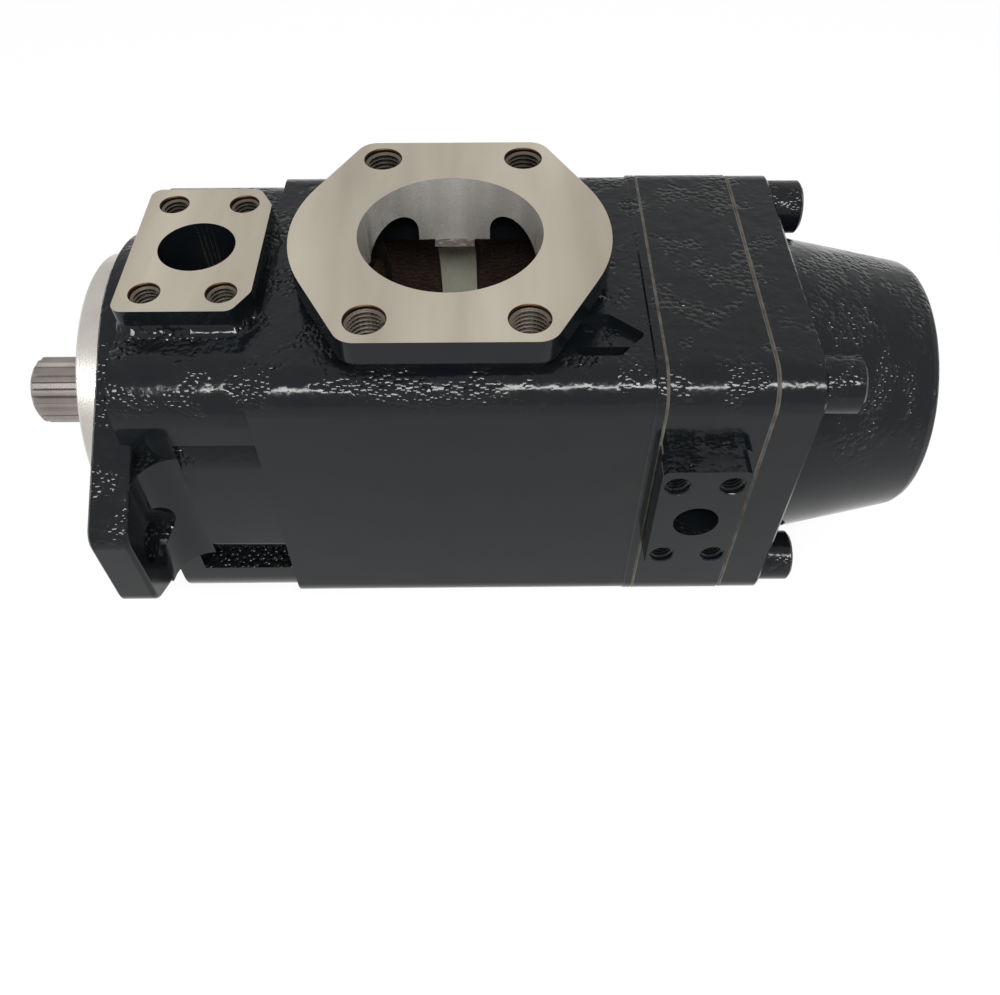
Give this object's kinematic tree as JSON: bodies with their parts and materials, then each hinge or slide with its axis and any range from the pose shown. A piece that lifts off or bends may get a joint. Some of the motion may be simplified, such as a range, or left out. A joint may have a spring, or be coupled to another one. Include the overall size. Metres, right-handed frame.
{
  "type": "hydraulic vane pump",
  "caption": "Cast-iron hydraulic vane pump with a two-bolt flange, splined shaft, top suction port, flanged pressure ports and a bell-shaped rear cover.",
  "frame": {"origin": "centre of the mounting face, on the shaft axis", "axes": "shaft axis along X, shaft end towards -X, rear cover towards +X; suction port faces +Z; one small pressure port faces -Y, the other +Y"},
  "size_m": [0.4061, 0.213, 0.1629],
  "materials": {
    "black_paint": "gloss black enamel over rough cast iron, machined faces left bare",
    "ground_iron": "ground",
    "shaft_steel": "ground and hobbed",
    "hardened_steel": "ground",
    "spring_steel": "phosphated",
    "screw_steel": "gloss black enamel over steel",
    "bronze": "bored",
    "brass": "machined",
    "seal_rubber": "moulded"
  },
  "bodies": {
    "housing": {"bearing_housing_ring": "spring_steel", "bearing_outer_race": "hardened_steel", "center_bushing": "bronze", "center_section": "black_paint", "cover_screws": "screw_steel", "front_cam_ring": "hardened_steel", "front_cartridge_screws": "hardened_steel", "front_dowels": "hardened_steel", "front_plate_seal": "seal_rubber", "front_pressure_plate": "ground_iron", "front_side_plate": "ground_iron", "joint_seal_front": "seal_rubber", "joint_seal_rear": "seal_rubber", "main_housing": "black_paint", "middle_cam_ring": "hardened_steel", "middle_cartridge_screws": "hardened_steel", "middle_dowels": "hardened_steel", "middle_plate_seal": "seal_rubber", "middle_pressure_plate": "ground_iron", "middle_side_plate": "ground_iron", "rear_bushing": "bronze", "rear_cam_ring": "hardened_steel", "rear_cartridge_screws": "hardened_steel", "rear_cover": "black_paint", "rear_dowels": "hardened_steel", "rear_plate_seal": "seal_rubber", "rear_pressure_plate": "ground_iron", "rear_side_plate": "ground_iron", "seal_retaining_ring": "spring_steel", "seal_spring": "spring_steel", "shaft_seal": "seal_rubber"},
    "shaft": {"drive_shaft": "shaft_steel", "bearing_inner_race": "hardened_steel", "bearing_shaft_ring": "spring_steel", "front_rotor": "hardened_steel", "middle_rotor": "hardened_steel", "rear_rotor": "hardened_steel", "middle_vanes": "hardened_steel", "rear_vanes": "hardened_steel"},
    "ball_set": {"bearing_balls": "hardened_steel", "bearing_cage": "brass"},
    "vane_01": {"front_vane_01": "hardened_steel"},
    "vane_02": {"front_vane_02": "hardened_steel"},
    "vane_03": {"front_vane_03": "hardened_steel"},
    "vane_04": {"front_vane_04": "hardened_steel"},
    "vane_05": {"front_vane_05": "hardened_steel"},
    "vane_06": {"front_vane_06": "hardened_steel"},
    "vane_07": {"front_vane_07": "hardened_steel"},
    "vane_08": {"front_vane_08": "hardened_steel"},
    "vane_09": {"front_vane_09": "hardened_steel"},
    "vane_10": {"front_vane_10": "hardened_steel"}
  },
  "joints": [
    {"name": "shaft_spin", "type": "hinge", "parent": "housing", "child": "shaft", "pos_m": [0, 0, 0], "axis": [1, 0, 0], "continuous": true},
    {"name": "ball_set_spin", "type": "hinge", "parent": "housing", "child": "ball_set", "pos_m": [0, 0, 0], "axis": [1, 0, 0], "continuous": true},
    {"name": "vane_slide_01", "type": "slide", "parent": "shaft", "child": "vane_01", "axis": [0, 0.9877, 0.1564], "range_m": [0, 0.00111]},
    {"name": "vane_slide_02", "type": "slide", "parent": "shaft", "child": "vane_02", "axis": [0, 0.7071, 0.7071], "range_m": [0, 0.00325]},
    {"name": "vane_slide_03", "type": "slide", "parent": "shaft", "child": "vane_03", "axis": [0, 0.1564, 0.9877], "range_m": [0, 0.00539]},
    {"name": "vane_slide_04", "type": "slide", "parent": "shaft", "child": "vane_04", "axis": [0, -0.454, 0.891], "range_m": [0, 0.00457]},
    {"name": "vane_slide_05", "type": "slide", "parent": "shaft", "child": "vane_05", "axis": [0, -0.891, 0.454], "range_m": [0, 0.00193]},
    {"name": "vane_slide_06", "type": "slide", "parent": "shaft", "child": "vane_06", "axis": [0, -0.9877, -0.1564], "range_m": [0, 0.00111]},
    {"name": "vane_slide_07", "type": "slide", "parent": "shaft", "child": "vane_07", "axis": [0, -0.7071, -0.7071], "range_m": [0, 0.00325]},
    {"name": "vane_slide_08", "type": "slide", "parent": "shaft", "child": "vane_08", "axis": [0, -0.1564, -0.9877], "range_m": [0, 0.00539]},
    {"name": "vane_slide_09", "type": "slide", "parent": "shaft", "child": "vane_09", "axis": [0, 0.454, -0.891], "range_m": [0, 0.00457]},
    {"name": "vane_slide_10", "type": "slide", "parent": "shaft", "child": "vane_10", "axis": [0, 0.891, -0.454], "range_m": [0, 0.00193]}
  ],
  "couplings": [
    {"joint": "ball_set_spin", "follows": "shaft_spin", "ratio": 0.3963}
  ]
}
